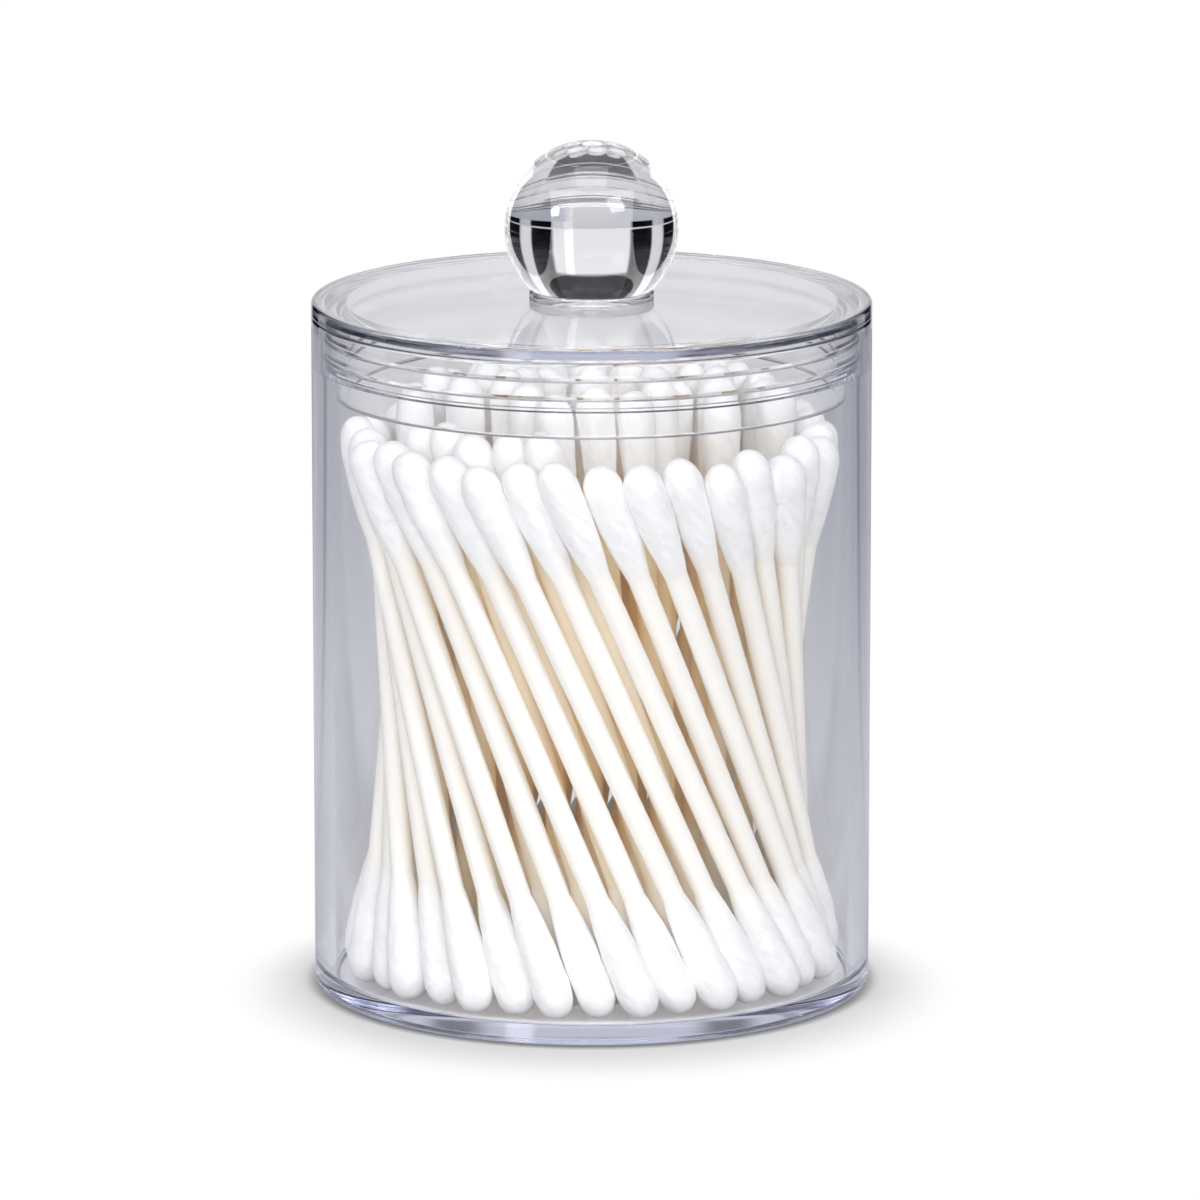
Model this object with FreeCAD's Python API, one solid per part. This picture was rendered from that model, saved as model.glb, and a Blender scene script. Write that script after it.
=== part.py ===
import FreeCAD, Part

import math
import os
import random

from FreeCAD import Placement, Rotation, Vector

# A clear plastic bathroom canister, full of paper-stick cotton swabs. The jar is a straight cylinder
# whose mouth is rebated on the inside. The flat lid rests on the jar's rim: its collar sits in the
# rebate and its skirt reaches down inside the wall. A solid clear ball on a low foot is its knob.
# The outer row of swabs is strongly twisted, so that each swab leans and the row is narrowest half way
# up. Inside it stands a straighter core, which leaves a hollow on one side, and a few more swabs line
# the outer row there.
# Millimetres, +Z up, origin at the centre of the surface the jar stands on.

# Jar
JAR_RADIUS = 35.0
HEADROOM = 6.6
WALL = 2.5
FLOOR = 2.1
FOOT_ROUND = 0.9
FLOOR_CORNER_ROUND = 0.8
RIM_BEVEL = 0.3
REBATE_DEPTH = 6.2
RIM_WALL = 1.3

# Lid
LID_THICKNESS = 1.8
LID_TOP_ROUND = 0.5
LID_UNDER_BEVEL = 0.2
COLLAR_CLEARANCE = 0.45
COLLAR_LIFT = 0.4
SKIRT_CLEARANCE = 0.7
SKIRT_WALL = 1.1
SKIRT_REACH = 9.8
SKIRT_BEVEL = 0.25
BEAD_STAND = 0.2
BEAD_HALF_HEIGHT = 0.3
BEAD_DROPS = (2.3, 4.6)

# Knob
BALL_RADIUS = 10.9
BALL_CENTRE_RISE = 9.0
FOOT_RADIUS = 7.8
FOOT_HEIGHT = 1.1
FOOT_BEVEL = 0.25

# Swabs
SWAB_LENGTH = 76.6
STICK_DIAMETER = 2.65
TIP_DIAMETER = 4.6
TIP_LENGTH = 15.5
SHOULDER_DIAMETER = 4.2
SHOULDER_LENGTH = 9.0
LENGTH_SPREAD = 1.8
OUTER_TWIST_DEG = 63.0
CORE_TWIST_DEG = 42.0
WALL_GAP = 0.35
SEAT_GAP = 0.1
ROW_GAP = 0.95
STAGGER = 0.9
TIP_GAP = 0.12
LEAST_GAP = 0.08
FULL_SECTOR_DEG = (0.0, 360.0)
LINING_SECTOR_DEG = (-158.0, -96.0)
CORE_SECTORS_DEG = ((-4.0, 188.0), (-18.0, 200.0), FULL_SECTOR_DEG)
SCATTER_SEED = 7
SWABS_PER_INNER_NODE = 4

JAR_HEIGHT = FLOOR + SEAT_GAP + SWAB_LENGTH + HEADROOM
JAR_INNER_RADIUS = JAR_RADIUS - WALL
REBATE_RADIUS = JAR_RADIUS - RIM_WALL
LID_TOP = JAR_HEIGHT + LID_THICKNESS


def sharp(radius, height):
    return radius, height, 0, False


def bevelled(radius, height, cut):
    return radius, height, cut, False


def rounded(radius, height, rounding):
    return radius, height, rounding, True


def turned(edges):
    """Solid of revolution about the Z axis of a closed profile in the XZ plane."""
    solid = Part.Face(Part.Wire(Part.__sortEdges__(edges))).revolve(Vector(0, 0, 0), Vector(0, 0, 1), 360)
    return Part.Solid(solid) if solid.ShapeType == "Shell" else solid


def profile(corners):
    """Edges of a closed profile through sharp, bevelled and rounded corners."""
    points = [Vector(radius, 0, height) for radius, height, _, _ in corners]
    edges = []
    ends = []
    for i, (_, _, size, is_round) in enumerate(corners):
        here = points[i]
        to_last = (points[i - 1] - here).normalize()
        to_next = (points[(i + 1) % len(points)] - here).normalize()
        half_angle = to_last.getAngle(to_next) / 2
        reach = size / math.tan(half_angle) if is_round else size
        start = here + to_last * reach
        end = here + to_next * reach
        ends.append((start, end))
        if is_round:
            middle = here + (to_last + to_next).normalize() * (size / math.sin(half_angle) - size)
            edges.append(Part.Arc(start, middle, end).toShape())
        elif size:
            edges.append(Part.LineSegment(start, end).toShape())
    for i, (_, leave) in enumerate(ends):
        arrive = ends[(i + 1) % len(ends)][0]
        edges.append(Part.LineSegment(leave, arrive).toShape())
    return edges


def make_jar():
    ledge = JAR_HEIGHT - REBATE_DEPTH
    return turned(profile([
        sharp(0, 0),
        rounded(JAR_RADIUS, 0, FOOT_ROUND),
        bevelled(JAR_RADIUS, JAR_HEIGHT, RIM_BEVEL),
        bevelled(REBATE_RADIUS, JAR_HEIGHT, RIM_BEVEL),
        sharp(REBATE_RADIUS, ledge),
        sharp(JAR_INNER_RADIUS, ledge),
        rounded(JAR_INNER_RADIUS, FLOOR, FLOOR_CORNER_ROUND),
        sharp(0, FLOOR),
    ]))


def make_lid():
    """Disc, collar with two grip beads, and skirt, moulded in one."""
    collar_radius = REBATE_RADIUS - COLLAR_CLEARANCE
    collar_foot = JAR_HEIGHT - REBATE_DEPTH + COLLAR_LIFT
    skirt_radius = JAR_INNER_RADIUS - SKIRT_CLEARANCE
    skirt_inner_radius = skirt_radius - SKIRT_WALL
    skirt_foot = JAR_HEIGHT - SKIRT_REACH
    corners = [
        sharp(0, LID_TOP),
        rounded(JAR_RADIUS, LID_TOP, LID_TOP_ROUND),
        bevelled(JAR_RADIUS, JAR_HEIGHT, LID_UNDER_BEVEL),
        sharp(collar_radius, JAR_HEIGHT),
    ]
    for drop in BEAD_DROPS:
        bead = JAR_HEIGHT - drop
        corners += [
            sharp(collar_radius, bead + BEAD_HALF_HEIGHT),
            sharp(collar_radius + BEAD_STAND, bead),
            sharp(collar_radius, bead - BEAD_HALF_HEIGHT),
        ]
    corners += [
        sharp(collar_radius, collar_foot),
        sharp(skirt_radius, collar_foot),
        bevelled(skirt_radius, skirt_foot, SKIRT_BEVEL),
        bevelled(skirt_inner_radius, skirt_foot, SKIRT_BEVEL),
        sharp(skirt_inner_radius, JAR_HEIGHT),
        sharp(0, JAR_HEIGHT),
    ]
    return turned(profile(corners))


def make_knob():
    """Solid ball, cut flat below and standing on a low round foot on the lid."""
    ball_centre = LID_TOP + BALL_CENTRE_RISE
    foot_top = LID_TOP + FOOT_HEIGHT
    seat_height = foot_top - ball_centre
    seat_radius = math.sqrt(BALL_RADIUS ** 2 - seat_height ** 2)
    crown = Vector(0, 0, ball_centre + BALL_RADIUS)
    widest = Vector(BALL_RADIUS, 0, ball_centre)
    seat = Vector(seat_radius, 0, foot_top)
    outline = [
        seat,
        Vector(FOOT_RADIUS - FOOT_BEVEL, 0, foot_top),
        Vector(FOOT_RADIUS, 0, foot_top - FOOT_BEVEL),
        Vector(FOOT_RADIUS, 0, LID_TOP),
        Vector(0, 0, LID_TOP),
        crown,
    ]
    edges = [Part.Arc(crown, widest, seat).toShape()]
    edges += [Part.LineSegment(a, b).toShape() for a, b in zip(outline, outline[1:])]
    return turned(edges)


def make_swab(length):
    """One swab standing on the origin: a straight stick with a long bud of cotton on each end."""
    tip = TIP_DIAMETER / 2
    stick = STICK_DIAMETER / 2
    shoulder = Vector(SHOULDER_DIAMETER / 2, 0, SHOULDER_LENGTH)
    above = SHOULDER_LENGTH - tip
    turn = math.atan2(shoulder.x, above) + math.acos(tip / math.hypot(shoulder.x, above))
    half_turn = (turn + math.pi) / 2
    foot = Vector(0, 0, 0)
    cheek = Vector(tip * math.sin(half_turn), 0, tip + tip * math.cos(half_turn))
    neck = Vector(tip * math.sin(turn), 0, tip + tip * math.cos(turn))
    wrist = Vector(stick, 0, TIP_LENGTH)
    lower = [
        Part.Arc(foot, cheek, neck).toShape(),
        Part.LineSegment(neck, shoulder).toShape(),
        Part.LineSegment(shoulder, wrist).toShape(),
    ]
    upper = [edge.mirror(Vector(0, 0, length / 2), Vector(0, 0, 1)) for edge in lower]
    side = Part.LineSegment(wrist, Vector(stick, 0, length - TIP_LENGTH)).toShape()
    axis = Part.LineSegment(Vector(0, 0, length), foot).toShape()
    return turned(lower + [side] + upper + [axis])


def side_room(row_radius, twist_deg):
    """Clear width between neighbours' axes at their tips, as a share of their spacing round the row."""
    half_twist = math.radians(twist_deg) / 2
    along = TIP_DIAMETER / 2 / SWAB_LENGTH
    narrowing = abs(complex(1 - along + along * math.cos(2 * half_twist), along * math.sin(2 * half_twist)))
    lean_chord = 2 * row_radius * math.sin(half_twist)
    sideways = lean_chord / SWAB_LENGTH * math.cos(half_twist)
    return narrowing * math.sqrt(1 - sideways ** 2)


def place_swab(length, radius, foot_deg, head_deg):
    """A swab leaning from foot_deg at the floor to head_deg at the top, on a circle of this radius."""
    up = Vector(0, 0, 1)
    foot = Rotation(up, foot_deg).multVec(Vector(radius, 0, 0))
    head = Rotation(up, head_deg).multVec(Vector(radius, 0, 0))
    across = head - foot
    rise = math.sqrt(SWAB_LENGTH ** 2 - across.Length ** 2)
    tilted_tip_drop = TIP_DIAMETER / 2 * (1 - rise / SWAB_LENGTH)
    swab = make_swab(length)
    swab.Placement = Placement(
        foot + up * (FLOOR + SEAT_GAP + tilted_tip_drop), Rotation(up, across + up * rise)
    )
    return swab


def make_row(radius, twist_deg, sector_deg, scatter):
    """Leaning swabs with their heads in a sector of a ring. Every other one stands a little further in,
    and each is a little out of its even place and a little shorter or longer."""
    first_deg, last_deg = sector_deg
    room = side_room(radius, twist_deg)
    least_spacing = math.sqrt((TIP_DIAMETER + TIP_GAP) ** 2 - STAGGER ** 2) / room
    step_deg = 180 / int(math.pi / math.asin(least_spacing / (2 * radius - STAGGER)) / 2)
    sideways = (2 * radius - STAGGER) * math.sin(math.radians(step_deg) / 2) * room
    spacing = math.hypot(sideways, STAGGER)
    shift_deg = math.degrees((spacing - TIP_DIAMETER - LEAST_GAP) / 2 / radius)
    swabs = []
    for i in range(round((last_deg - first_deg) / step_deg)):
        head_deg = first_deg + i * step_deg + scatter.uniform(-shift_deg, shift_deg)
        foot_deg = first_deg + i * step_deg + twist_deg + scatter.uniform(-shift_deg, shift_deg)
        length = SWAB_LENGTH - scatter.uniform(0, LENGTH_SPREAD)
        swabs.append(place_swab(length, radius - i % 2 * STAGGER, foot_deg, head_deg))
    return swabs


def make_nodes():
    """Every node's name and shape."""
    nodes = {"jar": make_jar(), "lid": make_lid(), "knob": make_knob()}
    scatter = random.Random(SCATTER_SEED)
    row_pitch = STAGGER + TIP_DIAMETER + ROW_GAP
    radius = JAR_INNER_RADIUS - TIP_DIAMETER / 2 - WALL_GAP
    for i, swab in enumerate(make_row(radius, OUTER_TWIST_DEG, FULL_SECTOR_DEG, scatter), 1):
        nodes[f"swab_{i:02d}"] = swab
    radius -= row_pitch
    inner_rows = {"lining": make_row(radius, OUTER_TWIST_DEG, LINING_SECTOR_DEG, scatter)}
    for row_number, sector_deg in enumerate(CORE_SECTORS_DEG, 2):
        inner_rows[f"row_{row_number}"] = make_row(radius, CORE_TWIST_DEG, sector_deg, scatter)
        radius -= row_pitch
    for row_name, row in inner_rows.items():
        for group, first in enumerate(range(0, len(row), SWABS_PER_INNER_NODE), 1):
            bunch = Part.makeCompound(row[first:first + SWABS_PER_INNER_NODE])
            nodes[f"{row_name}_swabs_{group}"] = bunch
    nodes["centre_swab"] = place_swab(SWAB_LENGTH, 0, 0, 0)
    return nodes


os.makedirs("parts", exist_ok=True)
for name, shape in make_nodes().items():
    shape.exportStep(f"parts/{name}.step")
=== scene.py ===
import math
import random

import bmesh
import bpy
import numpy as np
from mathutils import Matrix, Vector, noise


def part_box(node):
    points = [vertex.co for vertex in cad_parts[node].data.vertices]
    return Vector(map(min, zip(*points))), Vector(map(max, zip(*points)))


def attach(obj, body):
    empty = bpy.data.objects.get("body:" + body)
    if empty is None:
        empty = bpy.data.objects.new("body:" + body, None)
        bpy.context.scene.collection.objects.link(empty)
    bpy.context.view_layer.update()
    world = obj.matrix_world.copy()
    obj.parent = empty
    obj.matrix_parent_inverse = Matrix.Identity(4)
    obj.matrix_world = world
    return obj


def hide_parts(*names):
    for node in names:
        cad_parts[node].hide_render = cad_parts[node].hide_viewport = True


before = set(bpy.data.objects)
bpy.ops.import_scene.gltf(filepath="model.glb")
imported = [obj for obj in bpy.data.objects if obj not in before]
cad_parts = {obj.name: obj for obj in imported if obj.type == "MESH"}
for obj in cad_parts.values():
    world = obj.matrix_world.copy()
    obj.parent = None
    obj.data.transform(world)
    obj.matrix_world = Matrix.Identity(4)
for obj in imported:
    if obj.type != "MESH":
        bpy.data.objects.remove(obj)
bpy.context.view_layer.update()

# A clear plastic bathroom canister, full of paper-stick cotton swabs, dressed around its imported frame.
# The jar, the lid and the knob are turned again with their fine edges. Every swab is made anew on the
# line of its solid: a rolled paper stick with a wound cotton tip on each end. Metres, +Z up.

MM = 0.001

# Camera
CAMERA_DISTANCE = 1.1341
CAMERA_HEIGHT = 0.2951
CAMERA_ASIDE = 0.00104
CAMERA_PITCH_DEG = 12.26
CAMERA_LENS = 277.2
SENSOR_WIDTH = 36.0

# Jar
JAR_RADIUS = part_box("jar")[1].x
JAR_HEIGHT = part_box("jar")[1].z
WALL = 2.5 * MM
FLOOR = 2.1 * MM
FOOT_ROUND = 0.9 * MM
FLOOR_CORNER_ROUND = 0.8 * MM
RIM_ROUND = 0.3 * MM
REBATE_DEPTH = 6.2 * MM
RIM_WALL = 1.3 * MM
JAR_INNER_RADIUS = JAR_RADIUS - WALL
REBATE_RADIUS = JAR_RADIUS - RIM_WALL

# Lid
LID_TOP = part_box("lid")[1].z
LID_TOP_ROUND = 0.5 * MM
LID_UNDER_ROUND = 0.2 * MM
COLLAR_CLEARANCE = 0.45 * MM
COLLAR_LIFT = 0.4 * MM
SKIRT_CLEARANCE = 0.7 * MM
SKIRT_WALL = 1.1 * MM
SKIRT_ROUND = 0.4 * MM
BEAD_STAND = 0.2 * MM
BEAD_HALF_HEIGHT = 0.3 * MM
BEAD_DROPS = (2.3 * MM, 4.6 * MM)
COLLAR_RADIUS = REBATE_RADIUS - COLLAR_CLEARANCE
COLLAR_FOOT = JAR_HEIGHT - REBATE_DEPTH + COLLAR_LIFT
SKIRT_RADIUS = JAR_INNER_RADIUS - SKIRT_CLEARANCE
SKIRT_INNER_RADIUS = SKIRT_RADIUS - SKIRT_WALL
SKIRT_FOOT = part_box("lid")[0].z

# Knob
KNOB_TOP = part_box("knob")[1].z
BALL_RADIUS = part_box("knob")[1].x
BALL_CENTRE = KNOB_TOP - BALL_RADIUS
FOOT_RADIUS = 7.8 * MM
FOOT_HEIGHT = 1.1 * MM
FOOT_TOP = LID_TOP + FOOT_HEIGHT
FOOT_EDGE_ROUND = 0.25 * MM

# Turned plastic
MICRO_ROUND = 0.06 * MM
SEAM = 0.02 * MM
ON_AXIS = 0.0001 * MM
TURN_STEPS = 384
ROUND_STEPS = 6
ROUND_MARGIN = 1.25
BALL_STEPS = 120
PLASTIC_IOR = 1.49
PLASTIC_TINT = (0.992, 0.992, 0.995, 1.0)
PLASTIC_WORN_TINT = (0.96, 0.96, 0.968, 1.0)
PLASTIC_PASSING = (0.965, 0.966, 0.97, 1.0)
PLASTIC_DEEP = (0.06, 0.14, 0.64, 1.0)
PLASTIC_WAVE_DEPTH = 0.2 * MM

# Swabs
SWAB_LENGTH = 76.6 * MM
STICK_RADIUS = 2.8 * MM / 2
STICK_INSET = 3 * MM
STICK_STEPS = 8
SAME_CORNER = 0.001 * MM
TIP_RADIUS = 4.8 * MM / 2
TIP_LENGTH = 15.6 * MM
TIP_DOME = 3.6 * MM
TIP_BLUNTNESS = 2.2
TIP_RING_SPACING = 1.6
THIN_COTTON = 0.015 * MM
THICK_COTTON = 0.9 * MM
LEAST_COTTON = 1.008 * STICK_RADIUS
LEAST_COTTON_FROM = 0.4
TIP_PLUMPNESS = (0.985, 1.045)
TIP_OVAL = (0.0, 0.035)
TIP_LUMPS = (0.035, 0.075)
LUMP_LENGTH = 2.2 * MM
LUMPS_AROUND = 1.3
FINE_LUMPS = 0.014
FINE_LUMP_LENGTH = 0.9 * MM
FINE_LUMPS_AROUND = 3.5
NEXT_TIP_NOISE = Vector((3.1, 1.7, 5.3))
FIBRE_RADIUS = 0.022 * MM
FIBRE_ROOT = 0.04 * MM
FIBRE_DEPTH_MM = (0.6, 12.0)
FIBRE_REACH_MM = (-1.6, 1.6)
FIBRE_TURN = (-0.7, 0.7)
FIBRE_LIFT_MM = (0.1, 0.32)
FIBRE_ARCH = 2.6
FIBRE_LEAST_DEPTH = 0.1 * MM
FIBRE_STEPS = 5
FIBRES_PER_TIP = 26
OUTER_SWAB_DETAIL = (28, 26, FIBRES_PER_TIP)
INNER_SWAB_DETAIL = (20, 16, FIBRES_PER_TIP // 3)
SWAB_SEED = 11
PAPER, COTTON = 0, 1

# Paper and cotton
PAPER_CREAMS = ((0.955, 0.93, 0.87), (0.975, 0.955, 0.905))
PAPER_AGED = (0.95, 0.91, 0.83)
# Painted shade: tan, then deep orange, for paper lying deeper inside the bundle, where the sticks shade each
# other.
PAPER_PAINTED_SHADE = (0.99, 0.90, 0.74)
PAPER_PAINTED_DEEP_SHADE = (0.99, 0.80, 0.49)
PAPER_GRAIN_DEPTH = 0.02 * MM
COTTON_WHITES = ((0.895, 0.893, 0.888), (0.975, 0.974, 0.971))
COTTON_THINNED = (0.955, 0.938, 0.90)
# Painted shade: a warm tint for cotton low and deep inside the bundle.
COTTON_PAINTED_SHADE = (0.985, 0.90, 0.74)
COTTON_GRAIN_DEPTH = 0.25 * MM

# The twisted outer row, from which depth in the bundle is measured for the swabs' painted shade
TWIST_DEG = 63.0
SOLID_TIP_RADIUS = 4.6 * MM / 2
WALL_GAP = 0.35 * MM
OUTER_ROW_RADIUS = JAR_INNER_RADIUS - SOLID_TIP_RADIUS - WALL_GAP

# What the clear plastic shows of the studio. Angles are measured from straight ahead and from straight
# behind, rises are the upward part of a direction, and reaches are distances on the floor from the axis.
NEAR_CARD_DEG = (18, 32)
FAR_CARD_DEG = (43, 78)
LOW_GUIDED_CARD_DEG = (12, 62)
HIGH_GUIDED_CARD_DEG = (16, 25)
SLIM_GUIDED_CARD_DEG = (32.5, 37)
SOFT_CARD_DEG = (23, 40)
SOFT_SIDE_DEG = (3, 17)
STRIP_DEG = (8, 12)
SIDE_DEG = (6, 14)
SIDE_SHIFT_DEG = 34
ABOVE_SIDE_DEG = (17, 22)
HALF_TURN_BLUR = 0.1
CARD_FOOT_RISE = (-0.15, -0.14)
CARD_TOP_RISE = (0.60, 0.70)
ABOVE_FOOT_RISE = (0.21, 0.26)
ABOVE_TOP_RISE = (0.58, 0.70)
LOW_GUIDED_TOP_RISE = (0.205, 0.22)
HIGH_GUIDED_FOOT_RISE = (0.225, 0.24)
HIGH_GUIDED_TOP_RISE = (0.28, 0.32)
FLOOR_RISE = -0.2
RAISED_RISE = -0.1
HIGH_GUIDED_CARD = 0.65
SLIM_GUIDED_CARD = 0.4
WHITE = (1.0, 1.0, 1.0)
BACKDROP = (0.96, 0.965, 0.98)
INNER_BACKDROP = (0.70, 0.705, 0.72)
ABOVE_BACKDROP = (0.04, 0.042, 0.05)
FRONT_GREY = (0.10, 0.10, 0.11)
SIDE_GREY = (0.64, 0.645, 0.72)
DIM_SIDE_GREY = (0.54, 0.55, 0.63)
CARD_BLACK = (0.004, 0.0045, 0.007)
SOFT_GREY = (0.56, 0.57, 0.62)
DIM_SOFT_GREY = (0.50, 0.51, 0.56)
SOFT_CARD = (0.30, 0.305, 0.34)

# Floor and room
FLOOR_SHEET_RADIUS = 0.6
FLOOR_SHEET_DROP = 0.01 * MM
# Painted shadow: the floor is grey near the jar, with a darker painted contact shadow at its foot, and fades
# to white further out.
FLOOR_PAINTED_SHADOW = (0.66, 0.66, 0.66)
PAINTED_CONTACT_SHADOW = (0.22, 0.22, 0.23)
PAINTED_CONTACT_REACH = (0.99 * JAR_RADIUS, 1.05 * JAR_RADIUS)
SHADOW_FORWARD = 6 * MM
SHADOW_REACH = (0.86 * JAR_RADIUS, 1.34 * JAR_RADIUS)
# Painted light: a glow on the floor under the jar, seen through two walls of plastic.
PAINTED_UNDER_JAR_REACH = (0.97 * JAR_RADIUS, JAR_RADIUS)
PAINTED_UNDER_JAR_LIGHT = 0.3
DEEP_FLOOR_WHITE = 0.9
DEEP_ROOM_BLACK = 0.5
CARD_REACH = (0.45, 0.47)
GUIDED_CARD_REACH = (0.45, 0.48)
# A painted pool of light on the floor near the jar, as the plastic shows it.
PAINTED_POOL_REACH = (0.06, 0.34)
PAINTED_LIGHT_POOL = (0.85, 0.855, 0.88)
PAINTED_POOL_SHARE = 0.5
MAT_START = (1.6 * JAR_RADIUS, 1.8 * JAR_RADIUS)
MAT_END = (0.150, 0.165)
MAT_SLANT = (0.42, 0.46)
MAT_BLACK = (0.008, 0.009, 0.012)
AMBIENT = (0.33, 0.33, 0.335)

FLOAT, COLOUR, VECTOR = "NodeSocketFloat", "NodeSocketColor", "NodeSocketVector"


def lerp(a, b, share):
    return a + (b - a) * share


# ---------------------------------------------------------------- node helpers

def add(tree, kind, inputs=None, **settings):
    """One node, with its settings and the values or links of its inputs."""
    node = tree.nodes.new(kind)
    for name, value in settings.items():
        setattr(node, name, value)
    for name, value in (inputs or {}).items():
        if isinstance(value, bpy.types.NodeSocket):
            tree.links.new(value, node.inputs[name])
        else:
            node.inputs[name].default_value = value
    return node


def maths(tree, operation, *values, clamp=False):
    inputs = dict(enumerate(values))
    return add(tree, "ShaderNodeMath", inputs, operation=operation, use_clamp=clamp).outputs[0]


def all_of(tree, first, *others):
    """The product of masks."""
    for mask in others:
        first = maths(tree, "MULTIPLY", first, mask)
    return first


def most_of(tree, first, *others):
    """The largest of masks."""
    for mask in others:
        first = maths(tree, "MAXIMUM", first, mask)
    return first


def without(tree, mask):
    return maths(tree, "SUBTRACT", 1.0, mask)


def ramp(tree, value, low, high, to_low=0.0, to_high=1.0):
    """A smooth step of value from low to high."""
    inputs = {"Value": value, "From Min": low, "From Max": high, "To Min": to_low, "To Max": to_high}
    return add(tree, "ShaderNodeMapRange", inputs, interpolation_type="SMOOTHSTEP").outputs["Result"]


def fall(tree, value, low, high):
    """1 below low, 0 above high."""
    return ramp(tree, value, low, high, 1.0, 0.0)


def angle_ramp(tree, angle, low_deg, high_deg):
    return ramp(tree, angle, math.radians(low_deg), math.radians(high_deg))


def angle_band(tree, angle, first_deg, last_deg, blur_deg):
    """1 between two angles, with soft ends."""
    first = angle_ramp(tree, angle, first_deg - blur_deg, first_deg + blur_deg)
    last = angle_ramp(tree, angle, last_deg - blur_deg, last_deg + blur_deg)
    return all_of(tree, first, without(tree, last))


def mixed(tree, share, a, b):
    """Colour a, or b where share is 1."""
    a, b = (colour if isinstance(colour, bpy.types.NodeSocket) else (*colour, 1.0) for colour in (a, b))
    return add(tree, "ShaderNodeMix", {0: share, 6: a, 7: b}, data_type="RGBA").outputs[2]


def node_group(name, inputs, outputs):
    """An empty shader node group with named sockets, and its two ends."""
    group = bpy.data.node_groups.new(name, "ShaderNodeTree")
    for socket, kind, value in inputs:
        made = group.interface.new_socket(name=socket, in_out="INPUT", socket_type=kind)
        if value is not None:
            made.default_value = value
    for socket, kind in outputs:
        group.interface.new_socket(name=socket, in_out="OUTPUT", socket_type=kind)
    return group, group.nodes.new("NodeGroupInput").outputs, group.nodes.new("NodeGroupOutput").inputs


def place(tree, group, inputs):
    return add(tree, "ShaderNodeGroup", inputs, node_tree=group).outputs


def axes_of(tree, vector):
    return add(tree, "ShaderNodeSeparateXYZ", {"Vector": vector}).outputs


def length_of(tree, vector):
    return add(tree, "ShaderNodeVectorMath", {0: vector}, operation="LENGTH").outputs["Value"]


# ---------------------------------------------------------------- shared effects

def bundle_depth_group():
    """Depth inside the twisted bundle, from 0 on its outside to 1 in its dark middle: the mask of painted
    shade.
    """
    group, given, gives = node_group(
        "bundle depth",
        [("Place", VECTOR, None), ("From", FLOAT, 0.0), ("To", FLOAT, 0.006)],
        [("Depth", FLOAT)],
    )
    axes = axes_of(group, given["Place"])
    raised = maths(group, "SUBTRACT", axes["Z"], FLOOR)
    along = maths(group, "MULTIPLY", raised, 1 / SWAB_LENGTH, clamp=True)
    waist = all_of(group, along, without(group, along))
    chord = 2 * OUTER_ROW_RADIUS * math.sin(math.radians(TWIST_DEG) / 2)
    square = maths(group, "SUBTRACT", OUTER_ROW_RADIUS ** 2, maths(group, "MULTIPLY", waist, chord ** 2))
    row = maths(group, "SQRT", square)
    squares = [maths(group, "POWER", axes[axis], 2.0) for axis in ("X", "Y")]
    depth = maths(group, "SUBTRACT", row, maths(group, "SQRT", maths(group, "ADD", *squares)))
    group.links.new(ramp(group, depth, given["From"], given["To"]), gives["Depth"])
    return group


def wound_fibre_group():
    """Fine fibres wound round a swab's axis: a light and dark mask and a height."""
    group, given, gives = node_group(
        "wound fibre",
        [("Place", VECTOR, None), ("Lot", FLOAT, 0.0), ("Scale", FLOAT, 900.0), ("Stretch", FLOAT, 5.0),
         ("Turn", FLOAT, 500.0)],
        [("Mask", FLOAT), ("Height", FLOAT)],
    )
    axes = axes_of(group, given["Place"])
    angle = maths(group, "MULTIPLY", axes["Z"], given["Turn"])
    cosine, sine = maths(group, "COSINE", angle), maths(group, "SINE", angle)
    x = maths(group, "SUBTRACT", all_of(group, axes["X"], cosine), all_of(group, axes["Y"], sine))
    y = maths(group, "ADD", all_of(group, axes["X"], sine), all_of(group, axes["Y"], cosine))
    z = maths(group, "ADD", maths(group, "DIVIDE", axes["Z"], given["Stretch"]), given["Lot"])
    turned_place = add(group, "ShaderNodeCombineXYZ", {"X": x, "Y": y, "Z": z}).outputs["Vector"]
    fine = add(group, "ShaderNodeTexNoise", {
        "Vector": turned_place, "Scale": given["Scale"], "Detail": 4.0, "Roughness": 0.6,
    }).outputs["Fac"]
    coarse_scale = maths(group, "MULTIPLY", given["Scale"], 0.22)
    coarse = add(group, "ShaderNodeTexNoise", {
        "Vector": turned_place, "Scale": coarse_scale, "Detail": 2.0,
    }).outputs["Fac"]
    height = maths(group, "ADD", maths(group, "MULTIPLY", fine, 0.55),
                   maths(group, "MULTIPLY", coarse, 0.45))
    group.links.new(ramp(group, height, 0.38, 0.62), gives["Mask"])
    group.links.new(height, gives["Height"])
    return group


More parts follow.
